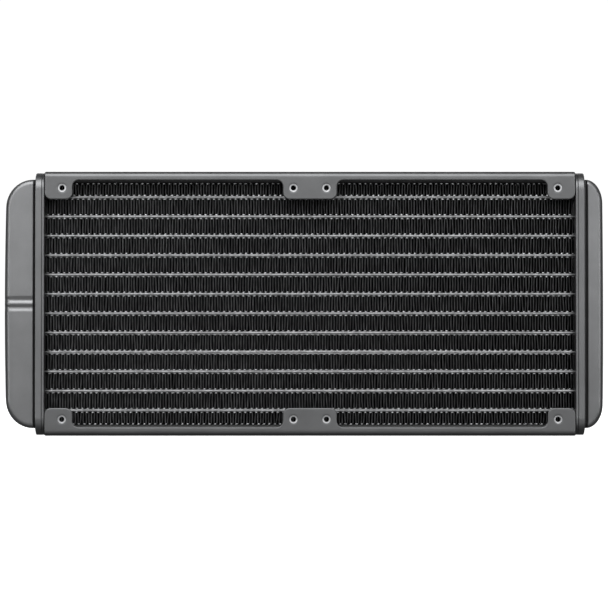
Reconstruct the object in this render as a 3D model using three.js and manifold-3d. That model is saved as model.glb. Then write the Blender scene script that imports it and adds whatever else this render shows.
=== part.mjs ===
// Liquid cooling radiator for square fans bolted side by side: a core of flat tubes and folded fins
// between two drawn end tanks, held in a pair of folded side channels with tapped fan tabs.
// Millimetres. X runs along the tubes, -Y is the front and +Z is up. The origin is the middle of the
// outer face of the lower side channel, on which the radiator can stand.
import * as THREE from "three";
import { mergeVertices } from "three/addons/utils/BufferGeometryUtils.js";
import Module from "manifold-3d";

// Fans that bolt on
const FAN_FRAME = 120; // side of one square fan
const FAN_COUNT = 2; // fans along X
const FAN_HOLE_INSET = 7.5; // from a fan's edge to its screw's axis
const FAN_MARGIN = 0.5; // the side channels run past the outer fans by this

// Whole frame
const FRAME_DEPTH = 27; // front flange to rear flange
const JOINT_GAP = 0.1; // between two pieces that are brazed or crimped together
const FITTED_GAP = 0.3; // round a piece that passes through another

// Side channels, folded from sheet
const CHANNEL_GAUGE = 1.2;
const CHANNEL_BEND = 2.2; // outer radius of the folds
const CHANNEL_END_CORNER = 1;
const LIP_HEIGHT = 4; // of the plain flange between the tabs, over the web's outer face
const TAB_HEIGHT = 12.7; // of a fan tab, over the web's outer face
const TAB_SIDE = 4.75; // from a screw's axis to the tab's side
const TAB_CORNER = 2.4;
const TAB_FILLET = 2.9; // where a tab meets the lip

// Tapped screw holes, drawn inwards from the tabs
const SCREW_BORE_RADIUS = 1.25;
const SCREW_CHAMFER_RADIUS = 1.9;
const SCREW_NECK_RADIUS = 2.7;
const SCREW_NECK_LENGTH = 1.5;

// Core of tubes and fins
const FAN_RECESS = 5.5; // from a flange's face back to the fins
const TUBE_COUNT = 12;
const TUBE_THICKNESS = 1.2;
const TUBE_WALL = 0.25;
const TUBE_PROJECTION = 1.2; // of a tube into a tank, past the header plate
const CORE_CHANNEL_TOP = 5; // outer face of the web to the outermost fins
const CORE_CHANNEL_GAUGE = 1;
const OUTER_FIN_SPACE = 5.85; // height of the outermost rows of fins
const FIN_FOLD_PITCH = 9.92; // one fold stands for four of the real ones
const FIN_SHEET = 0.5; // upright thickness of the sheet, which stands for four too
const FIN_END_GAP = 1.5; // from the fins to a header plate
const FIN_BRAZE_GAP = 0.05;

// Header plates, pressed as shallow pans
const HEADER_INSET = 0.3; // below the side channels' outer faces
const HEADER_CORNER = 5;
const HEADER_WALL = 1.3;
const HEADER_DEPTH = 4.2; // over the rim

// End tanks, drawn from sheet
const TANK_INSET = 3.05; // the tank's sides stand in from the header plate's by this
const TANK_WALL = 1.3;
const TANK_EDGE = 2.5; // radius round the front and rear faces
const TANK_NECK_INSET = 1.2; // the faces turn in by this to reach the foot
const TANK_FOOT = 1.75; // thickness of the foot held in the header plate
const INLET_TANK = { reach: 14.15, cornerX: 11.5, cornerZ: 13, bow: 0.45, groove: 1.5 };
const RETURN_TANK = { reach: 8.7, cornerX: 7.7, cornerZ: 11, bow: 0.15, groove: 2.05 };

// Creases that hold the partition in the inlet tank
const CREASE_DEPTH = 0.7;
const CREASE_LAND = 0.2; // half the flat ridge between the two creases
const CREASE_INNER_RAMP = 1.5;
const CREASE_OUTER_RAMP = 2;
const PARTITION_THICKNESS = 1.2;

// Hose barbs on the rear of the inlet tank
const BARB_SPREAD = 28; // from the partition to each barb's axis
const BARB_BORE_RADIUS = 2.75;
const BARB_SHANK_RADIUS = 3.5;
const BARB_RIDGE_RADIUS = 4.25;
const BARB_COLLAR_RADIUS = 4.75;
const BARB_COLLAR_THICKNESS = 1.5;
const BARB_PLAIN_LENGTH = 2.8; // of the shank between the collar and the first ridge
const BARB_RIDGE_COUNT = 3;
const BARB_RIDGE_PITCH = 3.4;
const BARB_RIDGE_LAND = 0.5;
const BARB_TIP_LENGTH = 1;

// How finely curves are faceted
const CORNER_SEGMENTS = 2;
const TUBE_SEGMENTS = 1;
const TANK_SEGMENTS = 4;
const EDGE_SEGMENTS = 3;
const HOLE_SEGMENTS = 12;
const BARB_SEGMENTS = 12;
const OVERCUT = 1; // how far a cutter stands out of what it cuts

// Sizes that follow
const FRAME_HEIGHT = FAN_FRAME;
const HALF_DEPTH = FRAME_DEPTH / 2;
const CHANNEL_HALF = (FAN_COUNT * FAN_FRAME) / 2 + FAN_MARGIN;
const HEADER_X = CHANNEL_HALF + JOINT_GAP; // face of a header plate that looks at the core
const RIM_X = HEADER_X + HEADER_DEPTH; // mouth of a header plate
const HEADER_HEIGHT = FRAME_HEIGHT - 2 * HEADER_INSET;
const MIDDLE = FRAME_HEIGHT / 2;
const CORE_DEPTH = FRAME_DEPTH - 2 * FAN_RECESS;
const CORE_EDGE = CORE_CHANNEL_TOP + OUTER_FIN_SPACE; // below the first tube
const TUBE_PITCH = (FRAME_HEIGHT - 2 * CORE_EDGE - TUBE_THICKNESS) / (TUBE_COUNT - 1);
const FIN_HALF = HEADER_X - FIN_END_GAP;
const TANK_HALF_DEPTH = HALF_DEPTH - TANK_INSET;
const TANK_HALF_HEIGHT = HEADER_HEIGHT / 2 - TANK_INSET;
const THROAT_HALF_DEPTH = CORE_DEPTH / 2 + FITTED_GAP; // opening round the tubes' ends

const PAINT = { color: 0x6d6e70, roughness: 0.45, metalness: 0.5 };
const CORE_PAINT = { color: 0x2a2a2b, roughness: 0.6, metalness: 0.4 };
const FIN_PAINT = { color: 0x151515, roughness: 0.7, metalness: 0.3 };

const wasm = await Module();
wasm.setup();

// Turning a drawn outline so that it is extruded along X, or towards the front
const X = new THREE.Vector3(1, 0, 0);
const Y = new THREE.Vector3(0, 1, 0);
const Z = new THREE.Vector3(0, 0, 1);
const ALONG_X = new THREE.Matrix4().makeBasis(Y, Z, X);
const TOWARDS_FRONT = new THREE.Matrix4().makeBasis(X, Z, Y.clone().negate());

function solidOf(geometry) {
  geometry.deleteAttribute("normal");
  geometry.deleteAttribute("uv");
  const merged = mergeVertices(geometry, 1e-4);
  return new wasm.Manifold(
    new wasm.Mesh({
      numProp: 3,
      vertProperties: merged.attributes.position.array,
      triVerts: new Uint32Array(merged.index.array),
    }),
  );
}

function geometryOf(solid) {
  const mesh = solid.getMesh();
  const geometry = new THREE.BufferGeometry();
  geometry.setAttribute("position", new THREE.BufferAttribute(mesh.vertProperties, 3));
  geometry.setIndex(new THREE.BufferAttribute(mesh.triVerts, 1));
  const faceted = geometry.toNonIndexed();
  faceted.computeVertexNormals();
  return faceted;
}

// An outline in Y and Z, extruded from one X to another
function extrudeX(shape, from, to, segments = CORNER_SEGMENTS) {
  const options = { depth: to - from, bevelEnabled: false, curveSegments: segments };
  const geometry = new THREE.ExtrudeGeometry(shape, options);
  return solidOf(geometry.applyMatrix4(ALONG_X).translate(from, 0, 0));
}

// An outline in X and Z, extruded from one Y to another
function extrudeY(shape, from, to, segments = CORNER_SEGMENTS) {
  const options = { depth: to - from, bevelEnabled: false, curveSegments: segments };
  const geometry = new THREE.ExtrudeGeometry(shape, options);
  return solidOf(geometry.applyMatrix4(TOWARDS_FRONT).translate(0, to, 0));
}

// An outline in X and Y, extruded from one Z to another
function extrudeZ(shape, from, to, segments = CORNER_SEGMENTS) {
  const options = { depth: to - from, bevelEnabled: false, curveSegments: segments };
  return solidOf(new THREE.ExtrudeGeometry(shape, options).translate(0, 0, from));
}

// An outline in X and Z with rounded front and rear edges, centred on Y = 0
function pillow(shape, halfDepth, edge) {
  const geometry = new THREE.ExtrudeGeometry(shape, {
    depth: 2 * (halfDepth - edge),
    curveSegments: TANK_SEGMENTS,
    bevelThickness: edge,
    bevelSize: edge,
    bevelOffset: -edge,
    bevelSegments: EDGE_SEGMENTS,
  });
  return solidOf(geometry.applyMatrix4(TOWARDS_FRONT).translate(0, halfDepth - edge, 0));
}

function block(low, high) {
  const size = high.map((value, axis) => value - low[axis]);
  const centre = high.map((value, axis) => (value + low[axis]) / 2);
  return solidOf(new THREE.BoxGeometry(...size).translate(...centre));
}

function roundedRectangle(width, height, radius, centreV = 0) {
  const right = width / 2;
  const top = centreV + height / 2;
  const bottom = centreV - height / 2;
  const shape = new THREE.Shape();
  shape.absarc(right - radius, bottom + radius, radius, -Math.PI / 2, 0);
  shape.absarc(right - radius, top - radius, radius, 0, Math.PI / 2);
  shape.absarc(-right + radius, top - radius, radius, Math.PI / 2, Math.PI);
  shape.absarc(-right + radius, bottom + radius, radius, Math.PI, (3 * Math.PI) / 2);
  return shape;
}

function polygon(points) {
  return new THREE.Shape(points.map(([u, v]) => new THREE.Vector2(u, v)));
}

// Mirrored copies, for the left end and for the top
const mirrorX = (solid) => solid.scale([-1, 1, 1]);
const mirrorZ = (solid) => solid.translate([0, 0, -MIDDLE]).scale([1, 1, -1]).translate([0, 0, MIDDLE]);

const radiator = new THREE.Group();

function addPart(name, solid, finish) {
  const mesh = new THREE.Mesh(geometryOf(solid), new THREE.MeshStandardMaterial(finish));
  mesh.name = name;
  radiator.add(mesh);
}

// Side channels ---------------------------------------------------------------------------------

const hub = (index) => (index - FAN_COUNT / 2) * FAN_FRAME; // X where two neighbouring fans meet

// Left and right side of every tab, from left to right
function tabSpans() {
  const reach = FAN_HOLE_INSET + TAB_SIDE;
  const spans = [];
  for (let index = 0; index <= FAN_COUNT; index += 1) {
    const left = index === 0 ? -CHANNEL_HALF : hub(index) - reach;
    const right = index === FAN_COUNT ? CHANNEL_HALF : hub(index) + reach;
    spans.push([left, right]);
  }
  return spans;
}

// Front view of the lower channel, drawn anticlockwise
function channelOutline() {
  const shape = new THREE.Shape();
  const end = CHANNEL_HALF - CHANNEL_END_CORNER;
  shape.absarc(-end, CHANNEL_END_CORNER, CHANNEL_END_CORNER, Math.PI, (3 * Math.PI) / 2);
  shape.absarc(end, CHANNEL_END_CORNER, CHANNEL_END_CORNER, -Math.PI / 2, 0);
  const cornerZ = TAB_HEIGHT - TAB_CORNER;
  const filletZ = LIP_HEIGHT + TAB_FILLET;
  for (const [left, right] of tabSpans().reverse()) {
    if (right < CHANNEL_HALF) {
      shape.absarc(right + TAB_FILLET, filletZ, TAB_FILLET, -Math.PI / 2, -Math.PI, true);
    }
    shape.absarc(right - TAB_CORNER, cornerZ, TAB_CORNER, 0, Math.PI / 2);
    shape.absarc(left + TAB_CORNER, cornerZ, TAB_CORNER, Math.PI / 2, Math.PI);
    if (left > -CHANNEL_HALF) {
      shape.absarc(left - TAB_FILLET, filletZ, TAB_FILLET, 0, -Math.PI / 2, true);
    }
  }
  return shape;
}

// The folded section, open upwards
function channelSection() {
  const inner = CHANNEL_BEND - CHANNEL_GAUGE;
  const shape = new THREE.Shape();
  const bendY = HALF_DEPTH - CHANNEL_BEND;
  shape.absarc(-bendY, CHANNEL_BEND, CHANNEL_BEND, Math.PI, (3 * Math.PI) / 2);
  shape.absarc(bendY, CHANNEL_BEND, CHANNEL_BEND, -Math.PI / 2, 0);
  shape.lineTo(HALF_DEPTH, TAB_HEIGHT);
  shape.lineTo(HALF_DEPTH - CHANNEL_GAUGE, TAB_HEIGHT);
  shape.absarc(bendY, CHANNEL_BEND, inner, 0, -Math.PI / 2, true);
  shape.absarc(-bendY, CHANNEL_BEND, inner, -Math.PI / 2, -Math.PI, true);
  shape.lineTo(-HALF_DEPTH + CHANNEL_GAUGE, TAB_HEIGHT);
  shape.lineTo(-HALF_DEPTH, TAB_HEIGHT);
  return shape;
}

// A cylinder or cone about a line along Y, with its first radius at `from`
function turnedY(radiusFrom, radiusTo, from, to, segments) {
  const geometry = new THREE.CylinderGeometry(radiusTo, radiusFrom, to - from, segments);
  return geometry.translate(0, (from + to) / 2, 0);
}

// Positions of the screws along X
function screwPlaces() {
  const places = [];
  for (let fan = 0; fan < FAN_COUNT; fan += 1) {
    places.push(hub(fan) + FAN_HOLE_INSET);
    places.push(hub(fan + 1) - FAN_HOLE_INSET);
  }
  return places;
}

function sideChannel() {
  const section = extrudeX(channelSection(), -CHANNEL_HALF, CHANNEL_HALF);
  let channel = section.intersect(extrudeY(channelOutline(), -HALF_DEPTH, HALF_DEPTH));
  const tabBack = -HALF_DEPTH + CHANNEL_GAUGE / 2;
  const neckEnd = -HALF_DEPTH + CHANNEL_GAUGE + SCREW_NECK_LENGTH;
  const chamferEnd = -HALF_DEPTH + SCREW_CHAMFER_RADIUS - SCREW_BORE_RADIUS;
  const neck = turnedY(SCREW_NECK_RADIUS, SCREW_NECK_RADIUS, tabBack, neckEnd, HOLE_SEGMENTS);
  const bore = turnedY(
    SCREW_BORE_RADIUS, SCREW_BORE_RADIUS, -HALF_DEPTH - OVERCUT, neckEnd + OVERCUT, HOLE_SEGMENTS,
  );
  const cone = turnedY(
    SCREW_CHAMFER_RADIUS, SCREW_BORE_RADIUS, -HALF_DEPTH, chamferEnd, HOLE_SEGMENTS,
  );
  for (const x of screwPlaces()) {
    for (const side of [1, -1]) {
      const place = (geometry) =>
        solidOf(geometry.clone()).scale([1, side, 1]).translate([x, 0, FAN_HOLE_INSET]);
      channel = channel.add(place(neck)).subtract(place(bore)).subtract(place(cone));
    }
  }
  return channel;
}

addPart("lower_side_channel", sideChannel(), PAINT);
addPart("upper_side_channel", mirrorZ(sideChannel()), PAINT);

// Core ------------------------------------------------------------------------------------------

// The channel that closes the core, its legs resting on the side channel's web
function coreChannel() {
  const half = CORE_DEPTH / 2;
  const foot = CHANNEL_GAUGE + JOINT_GAP;
  const roof = CORE_CHANNEL_TOP - CORE_CHANNEL_GAUGE;
  const leg = half - CORE_CHANNEL_GAUGE;
  const section = polygon([
    [-half, foot],
    [-leg, foot],
    [-leg, roof],
    [leg, roof],
    [leg, foot],
    [half, foot],
    [half, CORE_CHANNEL_TOP],
    [-half, CORE_CHANNEL_TOP],
  ]);
  return extrudeX(section, -CHANNEL_HALF, CHANNEL_HALF);
}

addPart("lower_core_channel", coreChannel(), CORE_PAINT);
addPart("upper_core_channel", mirrorZ(coreChannel()), CORE_PAINT);

const tubeCentre = (index) => CORE_EDGE + TUBE_THICKNESS / 2 + index * TUBE_PITCH;
const twoDigits = (number) => String(number).padStart(2, "0");

// A flat tube with round noses and a web that splits it into two passages
function flatTube(centreZ) {
  const outline = roundedRectangle(CORE_DEPTH, TUBE_THICKNESS, TUBE_THICKNESS / 2, centreZ);
  const passageHeight = TUBE_THICKNESS - 2 * TUBE_WALL;
  const passageDepth = (CORE_DEPTH - 3 * TUBE_WALL) / 2;
  const offset = (passageDepth + TUBE_WALL) / 2;
  const passage = roundedRectangle(passageDepth, passageHeight, passageHeight / 2, centreZ);
  for (const side of [-1, 1]) {
    const points = passage.getPoints(TUBE_SEGMENTS);
    outline.holes.push(new THREE.Path(points.map((point) => point.setX(point.x + side * offset))));
  }
  const end = HEADER_X + HEADER_WALL + TUBE_PROJECTION;
  return extrudeX(outline, -end, end, TUBE_SEGMENTS);
}

for (let index = 0; index < TUBE_COUNT; index += 1) {
  addPart(`tube_${twoDigits(index + 1)}`, flatTube(tubeCentre(index)), CORE_PAINT);
}

// A strip of sheet folded to and fro between two heights
function finStrip(bottom, top) {
  const folds = Math.floor((2 * FIN_HALF) / FIN_FOLD_PITCH);
  const pitch = (2 * FIN_HALF) / folds;
  const low = bottom + FIN_BRAZE_GAP;
  const high = top - FIN_BRAZE_GAP;
  const upper = [];
  const lower = [];
  for (let step = 0; step <= 2 * folds; step += 1) {
    const x = -FIN_HALF + (step * pitch) / 2;
    const crest = step % 2 === 1;
    upper.push([x, crest ? high : low + FIN_SHEET]);
    lower.push([x, crest ? high - FIN_SHEET : low]);
  }
  return extrudeY(polygon([...lower, ...upper.reverse()]), -CORE_DEPTH / 2, CORE_DEPTH / 2);
}

for (let row = 0; row <= TUBE_COUNT; row += 1) {
  const bottom = row === 0 ? CORE_CHANNEL_TOP : tubeCentre(row - 1) + TUBE_THICKNESS / 2;
  const top =
    row === TUBE_COUNT ? FRAME_HEIGHT - CORE_CHANNEL_TOP : tubeCentre(row) - TUBE_THICKNESS / 2;
  addPart(`fin_strip_${twoDigits(row + 1)}`, finStrip(bottom, top), FIN_PAINT);
}

// Header plates ---------------------------------------------------------------------------------

// The right-hand plate: a pan with its mouth outwards and a slot for each tube
function headerPlate() {
  const floor = HEADER_X + HEADER_WALL;
  const outline = roundedRectangle(FRAME_DEPTH, HEADER_HEIGHT, HEADER_CORNER, MIDDLE);
  const inner = roundedRectangle(
    FRAME_DEPTH - 2 * HEADER_WALL,
    HEADER_HEIGHT - 2 * HEADER_WALL,
    HEADER_CORNER - HEADER_WALL,
    MIDDLE,
  );
  let plate = extrudeX(outline, HEADER_X, RIM_X);
  plate = plate.subtract(extrudeX(inner, floor, RIM_X + OVERCUT));
  const depth = CORE_DEPTH + 2 * FITTED_GAP;
  const height = TUBE_THICKNESS + 2 * FITTED_GAP;
  for (let index = 0; index < TUBE_COUNT; index += 1) {
    const slot = roundedRectangle(depth, height, height / 2, tubeCentre(index));
    plate = plate.subtract(extrudeX(slot, HEADER_X - OVERCUT, floor + OVERCUT, TUBE_SEGMENTS));
  }
  return plate;
}

addPart("left_header_plate", mirrorX(headerPlate()), PAINT);
addPart("right_header_plate", headerPlate(), PAINT);

// End tanks -------------------------------------------------------------------------------------

// Front view of a right-hand tank, from inside the core to its bowed end
function tankOutline(tank, inset) {
  const start = HEADER_X - TANK_EDGE;
  const end = RIM_X + tank.reach - tank.bow - inset;
  const halfHeight = TANK_HALF_HEIGHT - inset;
  const cornerX = Math.min(tank.cornerX, tank.reach - tank.bow) - inset;
  const cornerZ = tank.cornerZ - inset;
  const centreX = end - cornerX;
  const centreZ = halfHeight - cornerZ;
  const shape = new THREE.Shape();
  shape.moveTo(start, MIDDLE + halfHeight);
  shape.lineTo(start, MIDDLE - halfHeight);
  shape.absellipse(centreX, MIDDLE - centreZ, cornerX, cornerZ, -Math.PI / 2, 0);
  shape.quadraticCurveTo(end + 2 * tank.bow, MIDDLE, end, MIDDLE + centreZ);
  shape.absellipse(centreX, MIDDLE + centreZ, cornerX, cornerZ, 0, Math.PI / 2);
  return shape;
}

const FOOT_START = HEADER_X + HEADER_WALL + JOINT_GAP; // foot of a tank, on the header plate

// Plan view of a tank's body, whose faces turn in to a neck that stands on the foot
function tankPlan(tank) {
  const end = RIM_X + tank.reach + OVERCUT;
  const centreX = RIM_X + tank.groove;
  const centreY = TANK_HALF_DEPTH - TANK_EDGE;
  const neckY = TANK_HALF_DEPTH - TANK_NECK_INSET;
  const turn = Math.acos((TANK_EDGE - TANK_NECK_INSET) / TANK_EDGE);
  const shape = new THREE.Shape();
  shape.absarc(centreX, centreY, TANK_EDGE, Math.PI / 2, Math.PI / 2 + turn);
  shape.lineTo(FOOT_START, neckY);
  shape.lineTo(FOOT_START, -neckY);
  shape.absarc(centreX, -centreY, TANK_EDGE, (3 * Math.PI) / 2 - turn, (3 * Math.PI) / 2);
  shape.lineTo(end, -TANK_HALF_DEPTH);
  shape.lineTo(end, TANK_HALF_DEPTH);
  return shape;
}

function tankShell(tank) {
  const footOutline = roundedRectangle(
    FRAME_DEPTH - 2 * (HEADER_WALL + JOINT_GAP),
    HEADER_HEIGHT - 2 * (HEADER_WALL + JOINT_GAP),
    HEADER_CORNER - HEADER_WALL - JOINT_GAP,
    MIDDLE,
  );
  const drawn = pillow(tankOutline(tank, 0), TANK_HALF_DEPTH, TANK_EDGE);
  const body = drawn.intersect(extrudeZ(tankPlan(tank), 0, FRAME_HEIGHT));
  return body.add(extrudeX(footOutline, FOOT_START, FOOT_START + TANK_FOOT));
}

// What the coolant fills, with a throat that opens towards the tubes
function tankCavity(tank) {
  const start = RIM_X + tank.groove - TANK_EDGE + TANK_WALL;
  const end = RIM_X + tank.reach;
  const halfDepth = TANK_HALF_DEPTH - TANK_WALL;
  const hollow = pillow(tankOutline(tank, TANK_WALL), halfDepth, TANK_EDGE - TANK_WALL);
  const room = block([start, -halfDepth - OVERCUT, 0], [end, halfDepth + OVERCUT, FRAME_HEIGHT]);
  const throatHalfHeight = MIDDLE - CORE_EDGE + FITTED_GAP;
  const throat = block(
    [FOOT_START - OVERCUT, -THROAT_HALF_DEPTH, MIDDLE - throatHalfHeight],
    [start + TANK_EDGE, THROAT_HALF_DEPTH, MIDDLE + throatHalfHeight],
  );
  return hollow.intersect(room).add(throat);
}

// Wedges that dent both faces of a body of this half depth, above and below the partition
function creases(tank, halfDepth) {
  const outside = halfDepth + OVERCUT;
  const wedges = [];
  for (const side of [-1, 1]) {
    for (const up of [-1, 1]) {
      const near = MIDDLE + up * CREASE_LAND;
      const deepest = near + up * CREASE_INNER_RAMP;
      const far = deepest + up * CREASE_OUTER_RAMP;
      const section = polygon([
        [side * outside, near],
        [side * halfDepth, near],
        [side * (halfDepth - CREASE_DEPTH), deepest],
        [side * halfDepth, far],
        [side * outside, far],
      ]);
      wedges.push(extrudeX(section, RIM_X, RIM_X + tank.reach + OVERCUT));
    }
  }
  return union(wedges);
}

function union(solids) {
  return solids.reduce((joined, solid) => joined.add(solid));
}

const barbX = (tank) => RIM_X + (tank.groove + tank.reach - TANK_EDGE) / 2;

function inletTank() {
  const shell = tankShell(INLET_TANK).subtract(creases(INLET_TANK, TANK_HALF_DEPTH));
  const cavity = tankCavity(INLET_TANK).subtract(
    creases(INLET_TANK, TANK_HALF_DEPTH - TANK_WALL),
  );
  let tank = shell.subtract(cavity);
  const holeRadius = BARB_SHANK_RADIUS + FITTED_GAP;
  for (const up of [-1, 1]) {
    const cutter = turnedY(holeRadius, holeRadius, 0, HALF_DEPTH, BARB_SEGMENTS);
    tank = tank.subtract(
      solidOf(cutter).translate([barbX(INLET_TANK), 0, MIDDLE + up * BARB_SPREAD]),
    );
  }
  return tank;
}

addPart("inlet_tank", mirrorX(inletTank()), PAINT);
addPart("return_tank", tankShell(RETURN_TANK).subtract(tankCavity(RETURN_TANK)), PAINT);

// Wall between the inlet and the outlet halves of the inlet tank
function partition() {
  const wide = TANK_HALF_DEPTH - TANK_WALL - FITTED_GAP;
  const narrow = THROAT_HALF_DEPTH - FITTED_GAP;
  const shoulder = RIM_X + INLET_TANK.groove;
  const end = RIM_X + INLET_TANK.reach - TANK_WALL - FITTED_GAP;
  const corner = TANK_EDGE - TANK_WALL;
  const shape = polygon([
    [FOOT_START, -narrow],
    [shoulder, -narrow],
    [shoulder, -wide],
    [end - corner, -wide],
    [end, -wide + corner],
    [end, wide - corner],
    [end - corner, wide],
    [shoulder, wide],
    [shoulder, narrow],
    [FOOT_START, narrow],
  ]);
  const half = PARTITION_THICKNESS / 2;
  return extrudeZ(shape, MIDDLE - half, MIDDLE + half);
}

addPart("tank_partition", mirrorX(partition()), CORE_PAINT);

// Hose barbs ------------------------------------------------------------------------------------

// A barb turned about Y, from inside the tank's wall out to its tip
function hoseBarb(x, z) {
  const seat = TANK_HALF_DEPTH + JOINT_GAP;
  const collarEnd = seat + BARB_COLLAR_THICKNESS;
  const firstRidge = collarEnd + BARB_PLAIN_LENGTH;
  const profile = [
    [BARB_BORE_RADIUS, TANK_HALF_DEPTH - TANK_WALL],
    [BARB_SHANK_RADIUS, TANK_HALF_DEPTH - TANK_WALL],
    [BARB_SHANK_RADIUS, seat],
    [BARB_COLLAR_RADIUS, seat],
    [BARB_COLLAR_RADIUS, collarEnd],
    [BARB_SHANK_RADIUS, collarEnd],
  ];
  for (let ridge = 0; ridge < BARB_RIDGE_COUNT; ridge += 1) {
    const start = firstRidge + ridge * BARB_RIDGE_PITCH;
    profile.push([BARB_SHANK_RADIUS, start]);
    profile.push([BARB_RIDGE_RADIUS, start]);
    profile.push([BARB_RIDGE_RADIUS, start + BARB_RIDGE_LAND]);
    profile.push([BARB_SHANK_RADIUS, start + BARB_RIDGE_PITCH]);
  }
  const tip = firstRidge + BARB_RIDGE_COUNT * BARB_RIDGE_PITCH + BARB_TIP_LENGTH;
  profile.push([BARB_SHANK_RADIUS, tip]);
  profile.push([BARB_BORE_RADIUS, tip]);
  profile.push(profile[0]);
  const distinct = profile.filter(
    (point, index) => index === 0 || point.some((value, axis) => value !== profile[index - 1][axis]),
  );
  const points = distinct.map(([radius, height]) => new THREE.Vector2(radius, height));
  return solidOf(new THREE.LatheGeometry(points, BARB_SEGMENTS)).translate([x, 0, z]);
}

const inletX = -barbX(INLET_TANK);
addPart("inlet_barb", hoseBarb(inletX, MIDDLE + BARB_SPREAD), CORE_PAINT);
addPart("outlet_barb", hoseBarb(inletX, MIDDLE - BARB_SPREAD), CORE_PAINT);

export default radiator;
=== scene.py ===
# %% [markdown]
# # A liquid cooling radiator, piece by piece
#
# A radiator for two square fans is a sandwich. Flat tubes carry the coolant, folded strips of thin
# fin carry its heat to the air, and two drawn tanks join the tubes' ends. Two folded side channels
# hold the sandwich together and offer tapped tabs for the fans. This lesson makes each of those
# pieces with the tools that a modeller uses by hand, and then gives each one its finish.
#
# The engineering model is loaded first, as a fixed frame. Every size and place that it settles is
# read from it, so that the fine pieces lie exactly where the plain ones do.

import math
import random
from contextlib import contextmanager

import bmesh
import bpy
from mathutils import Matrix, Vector


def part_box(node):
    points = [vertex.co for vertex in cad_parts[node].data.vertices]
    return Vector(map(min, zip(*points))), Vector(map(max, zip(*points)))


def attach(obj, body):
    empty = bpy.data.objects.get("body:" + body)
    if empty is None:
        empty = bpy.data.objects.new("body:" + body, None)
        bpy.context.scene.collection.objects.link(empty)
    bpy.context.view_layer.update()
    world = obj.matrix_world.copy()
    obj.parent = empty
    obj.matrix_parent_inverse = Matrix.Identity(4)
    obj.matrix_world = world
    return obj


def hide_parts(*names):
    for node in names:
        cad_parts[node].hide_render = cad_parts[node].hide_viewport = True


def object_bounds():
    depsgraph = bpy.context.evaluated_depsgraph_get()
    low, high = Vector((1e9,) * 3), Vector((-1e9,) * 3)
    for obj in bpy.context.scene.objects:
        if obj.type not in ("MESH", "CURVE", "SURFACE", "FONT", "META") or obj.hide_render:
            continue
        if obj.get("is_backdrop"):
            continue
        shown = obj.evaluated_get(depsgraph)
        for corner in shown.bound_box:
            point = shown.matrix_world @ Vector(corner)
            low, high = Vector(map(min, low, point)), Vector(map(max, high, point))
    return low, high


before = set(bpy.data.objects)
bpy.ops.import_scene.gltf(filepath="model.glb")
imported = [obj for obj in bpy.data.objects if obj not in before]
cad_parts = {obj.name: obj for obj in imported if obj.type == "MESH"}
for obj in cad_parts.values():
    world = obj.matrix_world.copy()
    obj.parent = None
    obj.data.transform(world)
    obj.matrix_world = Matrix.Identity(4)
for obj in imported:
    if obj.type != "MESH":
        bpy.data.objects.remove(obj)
cad_low, cad_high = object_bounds()
MM = 0.001
print("loaded", len(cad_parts), "pieces")

# %% [markdown]
# ## The camera
#
# The radiator is seen square on, from far away through a long lens, as for a catalogue. A long lens
# keeps the two ends from spreading, and a camera one degree below level just shows the undersides.
# The lens follows from how wide the view is at the front face and how far away the camera stands.

# %% Camera
SENSOR_WIDTH = 36.0
VIEW_WIDTH = 275.7 * MM  # across the picture, at the front face
VIEW_DISTANCE = 1250 * MM
VIEW_RISE = math.radians(-1)
VIEW_AIM = Vector((-2.7 * MM, cad_low[1], 59.8 * MM))

camera_data = bpy.data.cameras.new("camera")
camera_data.sensor_width = SENSOR_WIDTH
camera_data.lens = SENSOR_WIDTH * VIEW_DISTANCE / VIEW_WIDTH
camera_data.clip_start = 10 * MM
camera = bpy.data.objects.new("camera", camera_data)
bpy.context.scene.collection.objects.link(camera)
towards_camera = Vector((0, -math.cos(VIEW_RISE), math.sin(VIEW_RISE)))
camera.location = VIEW_AIM + VIEW_DISTANCE * towards_camera
camera.rotation_euler = towards_camera.to_track_quat("Z", "Y").to_euler()
bpy.context.scene.camera = camera
print("lens", round(camera_data.lens, 1), "mm")

# %% [markdown]
# ## Working by hand, in code
#
# A modeller selects, then acts. In code the selecting has to be said in words: which faces, edges or
# points, judged by where they are and which way they look. `pick` does that in edit mode. The other
# helpers here start a block, run a modifier and apply it, and open and close edit mode.

# %% Helpers for modelling
def activate(piece):
    bpy.ops.object.select_all(action="DESELECT")
    piece.select_set(True)
    bpy.context.view_layer.objects.active = piece


@contextmanager
def editing(piece):
    activate(piece)
    bpy.ops.object.mode_set(mode="EDIT")
    yield
    bpy.ops.object.mode_set(mode="OBJECT")


def pick(kind, test):
    """Selects the points, edges or faces whose place and direction pass the test."""
    mesh = bmesh.from_edit_mesh(bpy.context.object.data)
    bpy.ops.mesh.select_mode(type=kind)
    bpy.ops.mesh.select_all(action="DESELECT")
    picked = 0
    for item in {"VERT": mesh.verts, "EDGE": mesh.edges, "FACE": mesh.faces}[kind]:
        if kind == "VERT":
            place, way = item.co, item.normal
        elif kind == "EDGE":
            first, second = (vert.co for vert in item.verts)
            place, way = (first + second) / 2, (second - first).normalized()
        else:
            place, way = item.calc_center_median(), item.normal
        if test(place, way):
            item.select_set(True)
            picked += 1
    mesh.select_flush_mode()
    bmesh.update_edit_mesh(bpy.context.object.data)
    return picked


def near(value, target, within=0.02 * MM):
    return abs(value - target) < within


def add_block(name, low, high):
    """A cube primitive between two corners, with its place in its mesh."""
    bpy.ops.object.select_all(action="DESELECT")
    low, high = Vector(low), Vector(high)
    bpy.ops.mesh.primitive_cube_add(size=1, location=(low + high) / 2)
    block = bpy.context.object
    block.name = name
    block.scale = high - low
    bpy.ops.object.transform_apply(location=True, rotation=True, scale=True)
    return block


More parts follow.
